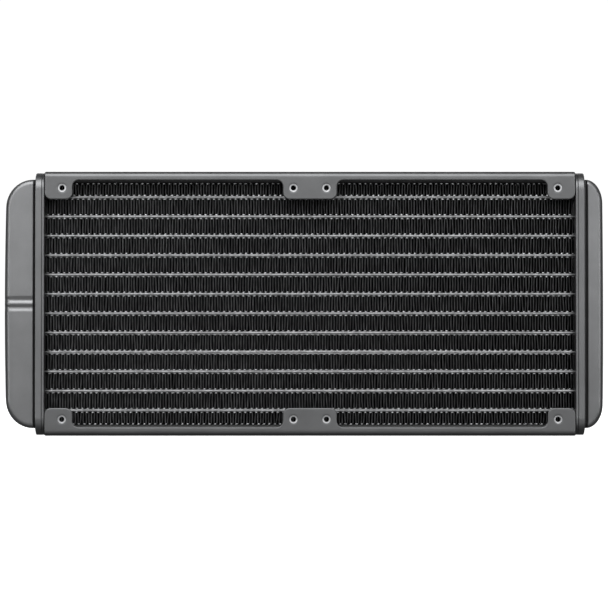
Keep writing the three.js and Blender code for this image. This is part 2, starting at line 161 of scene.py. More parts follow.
def modify(piece, kind, **settings):
    """Gives the piece a modifier and applies it."""
    activate(piece)
    modifier = piece.modifiers.new(kind.title(), kind)
    for setting, value in settings.items():
        setattr(modifier, setting, value)
    bpy.ops.object.modifier_apply(modifier=modifier.name)


def cut_levels(axis, levels):
    """Cuts everything that is being edited by planes square to an axis."""
    normal = [0, 0, 0]
    normal[axis] = 1
    for level in levels:
        place = [value * level for value in normal]
        bpy.ops.mesh.select_all(action="SELECT")
        bpy.ops.mesh.bisect(plane_co=place, plane_no=normal)


def combine(piece, other, operation):
    """Joins another solid to a piece or cuts it away, and removes the other solid."""
    modify(piece, "BOOLEAN", object=other, operation=operation, solver="EXACT")
    bpy.data.objects.remove(other)


def copy_of(piece, name, move=(0, 0, 0)):
    duplicate = piece.copy()
    duplicate.data = piece.data.copy()
    duplicate.name = name
    bpy.context.scene.collection.objects.link(duplicate)
    activate(duplicate)
    bpy.ops.transform.translate(value=move)
    bpy.ops.object.transform_apply(location=True, rotation=True, scale=True)
    return duplicate


def mirrored(piece, name, axis, middle=0):
    """A copy on the other side of a plane, its faces turned outwards again."""
    duplicate = copy_of(piece, name)
    scale = [1, 1, 1]
    scale[axis] = -1
    centre = [0, 0, 0]
    centre[axis] = middle
    with editing(duplicate):
        bpy.ops.mesh.select_all(action="SELECT")
        bpy.ops.transform.resize(value=scale, center_override=centre)
        bpy.ops.mesh.normals_make_consistent(inside=False)
    return duplicate


def turned(name, centre, outward, stations, sides):
    """A round solid about a line along Y, through stations of (radius, distance along the line)."""
    bpy.ops.object.select_all(action="DESELECT")
    first_radius, first_distance = stations[0]
    start = Vector(centre) + Vector((0, outward * first_distance, 0))
    upright = {"location": start, "rotation": (math.pi / 2, 0, 0)}
    bpy.ops.mesh.primitive_circle_add(vertices=sides, radius=first_radius, fill_type="NGON", **upright)
    piece = bpy.context.object
    piece.name = name
    bpy.ops.object.transform_apply(location=True, rotation=True, scale=True)
    radius, distance = first_radius, first_distance
    with editing(piece):
        bpy.ops.mesh.select_all(action="SELECT")
        for next_radius, next_distance in stations[1:]:
            step = outward * (next_distance - distance)
            bpy.ops.mesh.extrude_region_move(TRANSFORM_OT_translate={"value": (0, step, 0)})
            ratio = next_radius / radius
            middle = (centre[0], centre[1] + outward * next_distance, centre[2])
            bpy.ops.transform.resize(value=(ratio, 1, ratio), center_override=middle)
            radius, distance = next_radius, next_distance
        bpy.ops.mesh.select_all(action="SELECT")
        bpy.ops.mesh.normals_make_consistent(inside=False)
    return piece


SMOOTH_ANGLE = math.radians(40)


def finish_piece(piece, materials, slot, *nodes, angle=SMOOTH_ANGLE, even_shading=True):
    """Smooths and dresses a finished piece, hangs it on the root body and hides the frame's pieces
    that it stands for.
    """
    activate(piece)
    bpy.ops.object.shade_smooth_by_angle(angle=angle)
    if even_shading:
        modify(piece, "WEIGHTED_NORMAL", keep_sharp=True, weight=100)
    if not piece.data.materials:
        for material in materials:
            piece.data.materials.append(material)
    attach(piece, "root")
    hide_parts(*nodes)
    print(piece.name, len(piece.data.polygons), "faces")

# %% [markdown]
# ## Shader maths that reads like arithmetic
#
# A procedural finish is mostly sums: a pattern times a strength, plus a base. In the node editor each
# sum is a Math node. Here a `Signal` wraps a socket, and an expression such as `1 - wear * 0.5` adds
# the Math nodes that it needs. Anything that isn't a sum comes from the one method `add`.

# %% A small language for materials
class Signal:
    """A socket that can be used in an expression, each operator adding a Math node."""

    def __init__(self, finish, socket):
        self.finish = finish
        self.socket = socket

    def maths(self, operation, first, second):
        return self.finish.add("Math", {"operation": operation}, {0: first, 1: second})

    def __add__(self, other):
        return self.maths("ADD", self, other)

    def __sub__(self, other):
        return self.maths("SUBTRACT", self, other)

    def __rsub__(self, other):
        return self.maths("SUBTRACT", other, self)

    def __mul__(self, other):
        return self.maths("MULTIPLY", self, other)

    __radd__ = __add__
    __rmul__ = __mul__


class Finish:
    """A material under construction."""

    def __init__(self, name):
        self.material = bpy.data.materials.new(name)
        self.material.use_nodes = True
        self.tree = self.material.node_tree
        self.surface = self.tree.nodes["Principled BSDF"]

    def feed(self, socket, value):
        if isinstance(value, Signal):
            self.tree.links.new(value.socket, socket)
        else:
            socket.default_value = value

    def add(self, kind, settings, inputs, output=0):
        """Adds any node: its settings first, then the values or links of its sockets."""
        node = self.tree.nodes.new("ShaderNode" + kind)
        for setting, value in settings.items():
            if setting == "stops":
                for element, (position, level) in zip(node.color_ramp.elements, value):
                    element.position = position
                    element.color = (level, level, level, 1)
            else:
                setattr(node, setting, value)
        for name, value in inputs.items():
            self.feed(node.inputs[name], value)
        return Signal(self, node.outputs[output])

    def place(self):
        return self.add("TexCoord", {}, {}, "Object")

    def noise(self, scale, detail=2.0, roughness=0.5, stretch=(1, 1, 1)):
        """A cloudy pattern with this many cells to a metre, which can be stretched along an axis."""
        where = self.add("Mapping", {}, {"Vector": self.place(), "Scale": stretch})
        inputs = {"Vector": where, "Scale": scale, "Detail": detail, "Roughness": roughness}
        return self.add("TexNoise", {}, inputs, "Fac")

    def step(self, value, start, end):
        """0 below the start, 1 above the end, smooth between."""
        settings = {"interpolation_type": "SMOOTHSTEP"}
        return self.add("MapRange", settings, {"Value": value, "From Min": start, "From Max": end})

    def blend(self, amount, first, second):
        """A colour between two colours."""
        inputs = {0: amount, 6: first, 7: second}
        return self.add("Mix", {"data_type": "RGBA"}, inputs, 2)

    def grey(self, level):
        """A grey that leans very slightly to blue, as the paint does."""
        return (level * 0.985, level, level * 1.02, 1)

    def bump(self, height, depth):
        inputs = {"Height": height, "Distance": depth, "Strength": 1.0}
        return self.add("Bump", {}, inputs, "Normal")

    def away(self, axis):
        """How far a point is along an axis, either way, from the middle of the radiator."""
        along = self.add("SeparateXYZ", {}, {0: self.place()}, axis)
        return self.add("Math", {"operation": "ABSOLUTE"}, {0: along})

    def wear_and_highlight(self):
        """1 on edges and corners that stick out, 0 elsewhere."""
        pointed = self.add("NewGeometry", {}, {}, "Pointiness")
        return self.step(pointed, 0.52, 0.62)

    def set(self, **sockets):
        for name, value in sockets.items():
            self.feed(self.surface.inputs[name.replace("_", " ")], value)
        return self.material

# %% [markdown]
# ## The satin paint
#
# Channels, header plates and tanks are sprayed with a grey satin enamel that has metal flake in it.
# Sprayed paint is never one flat colour: it dries with a fine grain, it is a little thicker here than
# there, and it wears to a brighter line along the edges. So a fine noise drives a shallow bump, two
# slower ones move the colour and the roughness a little, and the edges' pointedness lightens them:
# partly as that wear, and partly as a painted highlight along the edges.
# The pieces were sprayed apart, so each has its own depth of grey: the tanks are the lightest, the
# channels the darkest, and the header plates lie between. The core's closers are a dull near-black,
# and the same near-black is the painted shade in the groove round each tank's neck.

# %% Frame paint
# Cells to a metre of the three patterns
PAINT_GRAIN = 5200
PAINT_CLOUD = 55
PAINT_BRUSHING = 160
PAINT_BUMP = 0.012 * MM
SATIN = {"roughness": 0.38, "metallic": 0.85}
DULL = {"roughness": 0.6, "metallic": 0.0}
TANK_GREY = 0.21
HEADER_GREY = 0.175
CHANNEL_GREY = 0.14
CORE_GREY = 0.02


def satin_paint(name, level, roughness, metallic, wear_and_highlight=0.1):
    paint = Finish(name)
    grain = paint.noise(PAINT_GRAIN, 3.0, 0.6)
    cloud = paint.noise(PAINT_CLOUD, 3.0, 0.55)
    brushed = paint.noise(PAINT_BRUSHING, 2.0, 0.5, stretch=(6, 1, 1))
    dark = paint.grey(level * 0.93)
    light = paint.grey(level * 1.07)
    body = paint.blend(paint.step(cloud, 0.3, 0.7), dark, light)
    speckled = paint.blend(paint.step(grain, 0.56, 0.75) * 0.22, body, paint.grey(level * 1.9))
    # Pointed edges lightened: edge wear, and a painted highlight along the edges.
    worn = paint.blend(paint.wear_and_highlight() * wear_and_highlight, speckled, paint.grey(min(1, level * 2.6)))
    return paint.set(
        Base_Color=worn,
        Metallic=metallic,
        Roughness=roughness + 0.06 * (brushed - 0.5) + 0.1 * (grain - 0.5),
        Normal=paint.bump(grain + 0.3 * cloud, PAINT_BUMP),
    )


frame_paint = satin_paint("satin_grey_paint", TANK_GREY, **SATIN)
# The channels' edges are lightened more: edge wear, and a stronger painted highlight along their
# edges.
channel_paint = satin_paint("satin_channel_paint", CHANNEL_GREY, wear_and_highlight=0.25, **SATIN)
header_paint = satin_paint("satin_header_paint", HEADER_GREY, **SATIN)
# Near-black paint for the core's closers and the barbs, and the painted shade in the tanks' neck
# grooves.
dark_paint_and_shade = satin_paint("dark_paint_and_groove_shade", CORE_GREY, **DULL)
print("paints ready")

# %% [markdown]
# ## The fins' black, the tubes' grey and the bright metal
#
# The fins are dip-coated black and dull. The coat wears a little at the core's faces, and deeper
# inside the fins are black as painted shade, so the fins' colour follows the depth. The tubes share
# that coat, but it lies thin on their round noses, so they look greyer, with small unevennesses along
# their length. Where the fins are brazed to the tubes, beads of filler metal catch the light. Next to
# the header plates all three are darker, as painted shade. The screw holes are tapped after painting,
# so their mouths are bare metal with fine turning marks.

# %% Core finishes
OPEN_DEPTH = 6.6 * MM  # painted shade: the fins are black up to here from the middle of the core
EDGE_DEPTH = 7.3 * MM  # and show their worn, dusty coat from here to the core's faces
HEADER_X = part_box("right_header_plate")[0].x
FADE_START = HEADER_X - 3 * MM  # from here on towards a header plate, the core gets darker, as painted shade
FADE_END = HEADER_X - 0.3 * MM
INNER_SHADE_BLACK = 0.003  # painted shade inside the core
PLATE_SHADE_BLACK = 0.02  # painted shade next to the header plates


def fin_black():
    black = Finish("fin_black")
    streak = black.noise(700, 3.0, 0.6, stretch=(1, 1, 0.25))
    dust = black.noise(2600, 2.0, 0.5)
    deep = black.away(1)
    worn = black.blend(black.step(streak, 0.35, 0.75), black.grey(0.055), black.grey(0.14))
    dusty = black.blend(black.step(dust, 0.6, 0.8) * 0.3, worn, black.grey(0.28))
    # Painted shade: darker next to the header plates.
    plate_shade = black.step(black.away(0), FADE_START, FADE_END)
    front = black.blend(plate_shade * 0.7, dusty, black.grey(PLATE_SHADE_BLACK))
    # Painted shade: the fins turn black deeper inside the core.
    shallow = black.step(deep, OPEN_DEPTH, EDGE_DEPTH)
    colour = black.blend(shallow, black.grey(INNER_SHADE_BLACK), front)
    return black.set(
        Base_Color=colour,
        Metallic=0.2,
        Specular_IOR_Level=0.0,
        Roughness=0.42 + 0.2 * (streak - 0.5),
        Normal=black.bump(dust, 0.01 * MM),
    )


def tube_grey():
    grey = Finish("tube_grey")
    patch = grey.noise(420, 3.0, 0.6, stretch=(1, 2, 2))
    grain = grey.noise(4000, 2.0, 0.5)
    # Painted shade: darker next to the header plates.
    plate_shade = grey.step(grey.away(0), FADE_START, FADE_END)
    bare = grey.blend(grey.step(patch, 0.35, 0.7), grey.grey(0.16), grey.grey(0.33))
    colour = grey.blend(plate_shade * 0.85, bare, grey.grey(PLATE_SHADE_BLACK))
    return grey.set(
        Base_Color=colour,
        Metallic=0.5,
        Roughness=0.38 + 0.25 * (patch - 0.5),
        Normal=grey.bump(patch + 0.3 * grain, 0.05 * MM),
    )


def braze_metal():
    braze = Finish("braze_metal")
    grain = braze.noise(3000, 2.0, 0.5)
    patch = braze.noise(500, 2.0, 0.5)
    # Painted shade: darker next to the header plates.
    plate_shade = braze.step(braze.away(0), FADE_START, FADE_END)
    bare = braze.blend(braze.step(patch, 0.4, 0.62), braze.grey(0.55), braze.grey(0.95))
    colour = braze.blend(plate_shade * 0.85, bare, braze.grey(PLATE_SHADE_BLACK))
    return braze.set(
        Base_Color=colour,
        Metallic=0.6,
        Roughness=0.3 + 0.2 * (grain - 0.5),
        Normal=braze.bump(grain, 0.02 * MM),
    )


def bright_metal():
    bright = Finish("bright_metal")
    rings = bright.noise(9000, 1.0, 0.4, stretch=(0.1, 1, 0.1))
    smear = bright.noise(600, 2.0, 0.5)
    colour = bright.blend(bright.step(smear, 0.3, 0.7), bright.grey(0.4), bright.grey(0.56))
    return bright.set(
        Base_Color=colour,
        Metallic=0.9,
        Roughness=0.36 + 0.2 * (rings - 0.5),
        Normal=bright.bump(rings, 0.01 * MM),
    )


fin_coat = fin_black()
tube_coat = tube_grey()
braze_coat = braze_metal()
bare_metal = bright_metal()
print("core finishes ready")

# %% [markdown]
# ## The side channels
#
# Each channel is one strip of sheet, blanked with its tabs, folded up twice and tapped. It is made
# here as it is in the factory. The front flange is drawn flat: a plane is cut where the tabs start,
# the tabs are pulled up from it, and its corners are rounded by a vertex bevel. Then its lower edge
# is spun round the fold, the web is pulled out, and a mirror gives the rear half. Solidify turns the
# skin into sheet, inwards, so that the outside keeps its size.

# %% One channel as a skin
LIP_HEIGHT = 4 * MM
FOLD_RADIUS = 2.5 * MM
SHEET = 1.2 * MM
TAB_REACH = 12.25 * MM  # from where two fans meet, or the outer fan's edge, to a tab's side
TAB_CORNER = 3 * MM
TAB_FILLET = 2.9 * MM
FAN_SIDE = 120 * MM
EDGE_ROUND = 0.55 * MM

channel_low, channel_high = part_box("lower_side_channel")
CHANNEL_END = channel_high.x
FRONT = channel_low.y
TAB_TOP = channel_high.z
MIDDLE = (cad_low[2] + cad_high[2]) / 2
tab_sides = [TAB_REACH - FAN_SIDE, -TAB_REACH, TAB_REACH, FAN_SIDE - TAB_REACH]


def on_tab(x):
    return abs(x) < TAB_REACH or abs(x) > FAN_SIDE - TAB_REACH


def channel_skin():
    bpy.ops.object.select_all(action="DESELECT")
    height = LIP_HEIGHT - FOLD_RADIUS
    bpy.ops.mesh.primitive_plane_add(
        size=1, location=(0, FRONT, FOLD_RADIUS + height / 2), rotation=(math.pi / 2, 0, 0)
    )
    skin = bpy.context.object
    skin.name = "lower_channel"
    skin.scale = (2 * CHANNEL_END, height, 1)
    bpy.ops.object.transform_apply(location=True, rotation=True, scale=True)
    with editing(skin):
        cut_levels(0, tab_sides)
        pick("EDGE", lambda place, way: near(place.z, LIP_HEIGHT) and on_tab(place.x))
        rise = {"value": (0, 0, TAB_TOP - LIP_HEIGHT)}
        bpy.ops.mesh.extrude_region_move(TRANSFORM_OT_translate=rise)
        bpy.ops.mesh.select_all(action="SELECT")
        bpy.ops.mesh.dissolve_limited(angle_limit=math.radians(1))
        pick("VERT", lambda place, way: near(place.z, TAB_TOP))
        bpy.ops.mesh.bevel(offset=TAB_CORNER, segments=6, affect="VERTICES")
        pick("VERT", lambda place, way: near(place.z, LIP_HEIGHT) and abs(place.x) < FAN_SIDE)
        bpy.ops.mesh.bevel(offset=TAB_FILLET, segments=6, affect="VERTICES")
        pick("EDGE", lambda place, way: near(place.z, FOLD_RADIUS) and abs(way.x) > 0.9)
        centre = (0, FRONT + FOLD_RADIUS, FOLD_RADIUS)
        bpy.ops.mesh.spin(steps=6, angle=-math.pi / 2, center=centre, axis=(1, 0, 0))
        web = {"value": (0, -FRONT - FOLD_RADIUS, 0)}
        bpy.ops.mesh.extrude_region_move(TRANSFORM_OT_translate=web)
    return skin


lower_channel = channel_skin()
lows = [min(v.co[axis] for v in lower_channel.data.vertices) for axis in range(3)]
print("channel skin reaches down to", [round(value / MM, 2) for value in lows], "mm")

# %% Both halves, as sheet with rounded edges
modify(lower_channel, "MIRROR", use_axis=(False, True, False), merge_threshold=0.01 * MM)
with editing(lower_channel):
    bpy.ops.mesh.select_all(action="SELECT")
    bpy.ops.mesh.remove_doubles(threshold=0.005 * MM)
    bpy.ops.mesh.normals_make_consistent(inside=False)


def face_outwards(skin, below):
    """Turns an open skin over if its lowest face looks up."""
    lowest = min(skin.data.polygons, key=lambda face: face.center.z)
    if (lowest.normal.z < 0) != below:
        with editing(skin):
            bpy.ops.mesh.select_all(action="SELECT")
            bpy.ops.mesh.flip_normals()


face_outwards(lower_channel, True)
modify(lower_channel, "SOLIDIFY", thickness=SHEET, offset=-1, use_even_offset=True)
SHARP_ANGLE = math.radians(50)
rounding = {"width": EDGE_ROUND, "segments": 3, "limit_method": "ANGLE", "angle_limit": SHARP_ANGLE}
modify(lower_channel, "BEVEL", use_clamp_overlap=True, **rounding)
print("channel sheet has", len(lower_channel.data.polygons), "faces")

# %% [markdown]
# ## Tapped screw holes
#
# A thin sheet can't hold a thread, so each hole is drawn inwards: a punch leaves a shallow dimple
# round a short neck, and the neck is tapped. One turned neck is joined on behind each tab, then one
# turned cutter takes out the dimple, the chamfer and the bore. The chamfer and the bore were cut
# through the paint, so their faces get the bright metal, as a bright ring round each dark bore.

# %% Screw holes
HOLE_INSET = 7.5 * MM
BORE = 1.2 * MM
CHAMFER = 1.85 * MM
DIMPLE = 2.7 * MM
DIMPLE_DEPTH = 0.16 * MM
CHAMFER_DEPTH = 0.09 * MM
NECK = 2.7 * MM
NECK_END = 2.7 * MM  # behind the tab's front face
RING_MARGIN = 0.1 * MM  # by which the bright ring passes the middle of the chamfer
HOLE_SIDES = 32
screw_places = [side * (FAN_SIDE - HOLE_INSET) for side in (-1, 1)] + [-HOLE_INSET, HOLE_INSET]


def joined(pieces):
    activate(pieces[0])
    for piece in pieces:
        piece.select_set(True)
    bpy.ops.object.join()
    return bpy.context.object


def hole_tools(name, stations):
    """The same turned tool at every screw, on the front and on the rear flange."""
    tools = []
    for x in screw_places:
        for side in (-1, 1):
            centre = (x, -side * FRONT, HOLE_INSET)
            tools.append(turned(name, centre, -side, stations, HOLE_SIDES))
    return joined(tools)


combine(lower_channel, hole_tools("necks", [(NECK, SHEET / 2), (NECK, NECK_END)]), "UNION")
cutter_stations = [
    (DIMPLE + 0.6 * MM, -0.2 * MM),
    (DIMPLE - 0.5 * MM, DIMPLE_DEPTH * 0.8),
    (CHAMFER, DIMPLE_DEPTH),
    (BORE, DIMPLE_DEPTH + CHAMFER_DEPTH),
    (BORE, NECK_END + 1 * MM),
]
combine(lower_channel, hole_tools("cutters", cutter_stations), "DIFFERENCE")


def paint_holes(channel):
    """Bare metal on the chamfers and bores, paint elsewhere."""
    channel.data.materials.clear()
    channel.data.materials.append(channel_paint)
    channel.data.materials.append(bare_metal)
    for face in channel.data.polygons:
        for x in screw_places:
            away = math.hypot(face.center.x - x, face.center.z - HOLE_INSET)
            if away < (BORE + CHAMFER) / 2 + RING_MARGIN:
                face.material_index = 1


paint_holes(lower_channel)
upper_channel = mirrored(lower_channel, "upper_channel", 2, MIDDLE)
finish_piece(lower_channel, [], "frame_paint", "lower_side_channel")
finish_piece(upper_channel, [], "frame_paint", "upper_side_channel")

# %% [markdown]
# ## The core's own channels
#
# Behind the side channels lies a narrower channel, which closes the core above and below and gives
# the outermost fins something to be brazed to. A block is rounded along its two folds, its open side
# and ends are taken off, and Solidify gives the sheet.

# %% Core channels
CORE_FOLD = 1.6 * MM
CORE_SHEET = 1 * MM
CORE_EDGE_ROUND = 0.15 * MM
core_low, core_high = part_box("lower_core_channel")


def core_channel():
    channel = add_block("lower_core_closer", core_low, core_high)
    with editing(channel):
        pick("EDGE", lambda place, way: abs(way.x) > 0.9 and near(place.z, core_high.z))
        bpy.ops.mesh.bevel(offset=CORE_FOLD, segments=4)
        pick("FACE", lambda place, way: way.z < -0.9 or abs(way.x) > 0.9)
        bpy.ops.mesh.delete(type="FACE")
    modify(channel, "SOLIDIFY", thickness=CORE_SHEET, offset=-1, use_even_offset=True)
    modify(channel, "BEVEL", width=CORE_EDGE_ROUND, segments=2, limit_method="ANGLE")
    return channel


lower_core = core_channel()
upper_core = mirrored(lower_core, "upper_core_closer", 2, MIDDLE)
finish_piece(lower_core, [dark_paint_and_shade], "core_channel_paint", "lower_core_channel")
finish_piece(upper_core, [dark_paint_and_shade], "core_channel_paint", "upper_core_channel")

# %% [markdown]
# ## The flat tubes
#
# A radiator tube is rolled flat, so its section is long and thin with round noses. Bevelling the four
# long edges of a block by almost half its thickness gives exactly that. One tube is modelled and
# copied up the core by the distance between the frame's own tubes.

# %% Tubes
TUBE_COUNT = sum(name.startswith("tube_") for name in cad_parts)
tube_low, tube_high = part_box("tube_01")
TUBE_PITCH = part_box("tube_02")[0].z - tube_low.z
TUBE_HALF = (tube_high.z - tube_low.z) / 2
NOSE_SHARE = 0.98  # of half the thickness, because two full bevels would meet in one edge


def flat_tube(name, grow=0):
    """A tube, or with grow a slightly larger cutter for the slot that it passes through."""
    margin = Vector((0, grow, grow))
    tube = add_block(name, tube_low - margin, tube_high + margin)
    with editing(tube):
        pick("EDGE", lambda place, way: abs(way.x) > 0.9)
        bpy.ops.mesh.bevel(offset=NOSE_SHARE * (TUBE_HALF + grow), segments=4)
    return tube


first_tube = flat_tube("flat_tube_01")
for index in range(TUBE_COUNT):
    number = f"{index + 1:02d}"
    tube = first_tube
    if index > 0:
        tube = copy_of(first_tube, f"flat_tube_{number}", (0, 0, index * TUBE_PITCH))
    finish_piece(tube, [tube_coat], "tube_paint", f"tube_{number}")

# %% [markdown]
# ## The folded fins
#
# A fin strip is one thin ribbon, folded to and fro between two tubes. Its folds are round, its walls
# are slit into louvres that lean across the air's way, and no two walls stand quite alike. One fold
# is modelled: a wall, an arch spun over to the next wall, and an arch spun back. The louvres' lean is
# a sideways step at each depth, which also keeps daylight from showing straight through. An Array
# repeats the fold, Solidify gives the ribbon its thickness, and a seeded random lean unsettles it.

# %% One fold
FOLD_PITCH = 2.48 * MM
RIBBON = 0.1 * MM
fin_low, fin_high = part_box("fin_strip_01")
ARCH = FOLD_PITCH / 4
FIN_BACK = fin_high.y
# How far each depth of the ribbon stands to the side, from the front to the middle
LOUVRES = [(1.0, 0.0), (0.88, 0.43 * MM), (0.5, 0.3 * MM), (0.0, 1.6 * MM)]


def sideways(depth_share):
    """The ribbon's step to the side at a depth, given as a share of the half depth."""
    share = abs(depth_share)
    for (outer, outer_step), (inner, inner_step) in zip(LOUVRES, LOUVRES[1:]):
        if share >= inner:
            mix = (outer - share) / (outer - inner)
            return outer_step + (inner_step - outer_step) * mix
    return LOUVRES[-1][1]


def one_fold(bottom, top):
    """A wall going up, an arch, a wall coming down and an arch, to where the next fold starts."""
    bpy.ops.object.select_all(action="DESELECT")
    low = bottom + ARCH
    high = top - ARCH
    bpy.ops.mesh.primitive_plane_add(
        size=1, location=(0, 0, (low + high) / 2), rotation=(0, math.pi / 2, 0)
    )
    fold = bpy.context.object
    fold.scale = (high - low, 2 * FIN_BACK, 1)
    bpy.ops.object.transform_apply(location=True, rotation=True, scale=True)
    with editing(fold):
        depths = [share * FIN_BACK for share, _ in LOUVRES[1:]]
        cut_levels(1, depths + [-depth for depth in depths[:-1]])
        cut_levels(2, [(low + high) / 2])
        pick("EDGE", lambda place, way: near(place.z, high) and abs(way.y) > 0.9)
        bpy.ops.mesh.spin(steps=3, angle=-math.pi, center=(ARCH, 0, high), axis=(0, 1, 0))
        for _ in range(2):
            fall = {"value": (0, 0, (low - high) / 2)}
            bpy.ops.mesh.extrude_region_move(TRANSFORM_OT_translate=fall)
        bpy.ops.mesh.spin(steps=3, angle=math.pi, center=(3 * ARCH, 0, low), axis=(0, 1, 0))
        bpy.ops.mesh.select_all(action="SELECT")
        bpy.ops.mesh.remove_doubles(threshold=0.002 * MM)
        for share, step in LOUVRES[1:]:
            pick("VERT", lambda place, way: near(abs(place.y), share * FIN_BACK))
            bpy.ops.transform.translate(value=(step, 0, 0))
    return fold


fold_size = (FOLD_PITCH, fin_high.z - fin_low.z)
print("a fold's length and height", [round(size / MM, 2) for size in fold_size], "mm")

# %% [markdown]
# ## Beads of braze
#
# In the furnace, filler metal draws into the corner between an arch and a tube and sets as a small
# bead. A coarse icosphere is squashed to a bead's size, and its points on the tube's side are spread,
# as the metal spread there. There are hundreds, so each keeps its twenty faces.

# %% Beads where a fold meets a tube
BEAD_WIDTH = 1.1 * MM
BEAD_HEIGHT = 0.65 * MM
BEAD_DEPTH = 0.6 * MM
BEAD_DROP = 0.2 * MM  # of the upper beads' middle under the tube
BEAD_RISE = 0.2 * MM  # of the lower beads' middle over the tube
BEAD_SPREAD = 1.3  # by which a bead is wider at the tube


def add_beads(bottom, top):
    """Four beads of one fold: over its arch and under the next, at the front and at the rear."""
    beads = []
    for x, z, up in ((ARCH, top - BEAD_DROP, 1), (3 * ARCH, bottom + BEAD_RISE, -1)):
        for side in (-1, 1):
            bpy.ops.object.select_all(action="DESELECT")
            place = (x, side * (FIN_BACK - BEAD_DEPTH / 2), z)
            bpy.ops.mesh.primitive_ico_sphere_add(subdivisions=1, radius=0.5, location=place)
            bead = bpy.context.object
            bead.scale = (BEAD_WIDTH, BEAD_DEPTH, BEAD_HEIGHT)
            bpy.ops.object.transform_apply(location=True, rotation=True, scale=True)
            with editing(bead):
                pick("VERT", lambda place, way: (place.z - z) * up > 0)
                bpy.ops.transform.resize(value=(BEAD_SPREAD, 1, 1), center_override=(x, 0, z))
            beads.append(bead)
    return joined(beads)


# %% A whole strip
STRIP_FOLDS = 100
STRIP_END = HEADER_X - 0.15 * MM
LEAN = 0.09 * MM  # how far a wall's ends stray to the side, as a random spread
SWAY = 0.07 * MM  # and how far its middle does
FIN_SMOOTH = math.radians(25)
chance = random.Random(11)


def between(values, position):
    """The value part of the way between two neighbours of a list."""
    index = min(max(int(position), 0), len(values) - 2)
    share = min(max(position - index, 0), 1)
    return values[index] * (1 - share) + values[index + 1] * share


def master_strip(bottom, top):
    """A regular strip that starts at X = 0, with its ribbon first and its beads after."""
    strip = one_fold(bottom, top)
    repeat = {
        "count": STRIP_FOLDS,
        "use_relative_offset": False,
        "use_constant_offset": True,
        "constant_offset_displace": (FOLD_PITCH, 0, 0),
    }
    modify(strip, "ARRAY", use_merge_vertices=True, merge_threshold=0.01 * MM, **repeat)
    modify(strip, "SOLIDIFY", thickness=RIBBON, offset=0)
    strip.data.materials.append(fin_coat)
    beads = add_beads(bottom, top)
    modify(beads, "ARRAY", **repeat)
    beads.data.materials.append(braze_coat)
    return joined([strip, beads])


def unsettle(strip, bottom, top):
    """Leans and sways each wall by its own seeded amount, and starts the strip anywhere in a fold."""
    walls = 2 * STRIP_FOLDS + 2
    leans = [chance.gauss(0, LEAN) for _ in range(walls)]
    sways = [chance.gauss(0, SWAY) for _ in range(walls)]
    start = -STRIP_FOLDS * FOLD_PITCH / 2 + chance.uniform(-1, 0) * FOLD_PITCH
    middle = (bottom + top) / 2
    half = (top - bottom) / 2
    for vertex in strip.data.vertices:
        place = vertex.co
        wall = (place.x - sideways(place.y / FIN_BACK)) / (FOLD_PITCH / 2)
        rise = (place.z - middle) / half
        lean = between(leans, wall) * rise
        sway = between(sways, wall) * math.cos(rise * math.pi / 2)
        place.x += start + lean + sway
    with editing(strip):
        for way in (-1, 1):
            bpy.ops.mesh.select_all(action="SELECT")
            bpy.ops.mesh.bisect(
                plane_co=(way * STRIP_END, 0, 0), plane_no=(way, 0, 0), clear_outer=True, use_fill=True
            )


masters = {}
for row in range(TUBE_COUNT + 1):
    node = f"fin_strip_{row + 1:02d}"
    low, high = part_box(node)
    key = round((high.z - low.z) / MM, 2)
    if key not in masters:
        masters[key] = (master_strip(low.z, high.z), low.z)
    master, master_low = masters[key]
    strip = copy_of(master, f"folded_fin_{row + 1:02d}", (0, 0, low.z - master_low))
    unsettle(strip, low.z, high.z)
    finish_piece(strip, [], "fin_paint", node, angle=FIN_SMOOTH, even_shading=False)
for master, _ in masters.values():
    bpy.data.objects.remove(master)

# %% [markdown]
# ## The header plates
#
# Each end of the core is a pressed pan. Its floor has a slot for every tube, and its mouth looks
# outwards to take the tank's foot. A block's corners are bevelled, its outer face is inset and pushed
# in to leave the rim, and the rim's and the floor's edges are softened as a press leaves them. A
# shallow groove runs round the pan where it was drawn: two cuts bound it, and the one between them is
# made a little smaller. Twelve slightly larger tubes then cut the slots.

# %% Header plates
PLATE_CORNER = 8 * MM
PLATE_WALL = 1.3 * MM
RIM_ROUND = 0.5 * MM
INNER_ROUND = 0.25 * MM
FLOOR_ROUND = 0.5 * MM
GROOVE_PLACE = 1.15 * MM  # from the plate's core side
GROOVE_HALF = 0.25 * MM
GROOVE_DEPTH = 0.23 * MM
SLOT_GAP = 0.3 * MM
plate_low, plate_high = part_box("right_header_plate")


def on_rim(place, inner=PLATE_WALL / 2):
    """Whether a point is on the plate's outer skin, or no further inside it than given."""
    beyond_y = abs(place.y) - plate_high.y
    beyond_z = abs(place.z - MIDDLE) - (plate_high.z - MIDDLE)
    if beyond_y > -inner or beyond_z > -inner:
        return True
    corner_y = beyond_y + PLATE_CORNER
    corner_z = beyond_z + PLATE_CORNER
    in_corner = corner_y > 0 and corner_z > 0
    return in_corner and math.hypot(corner_y, corner_z) > PLATE_CORNER - inner


def at_mouth(place):
    return near(place.x, plate_high.x)


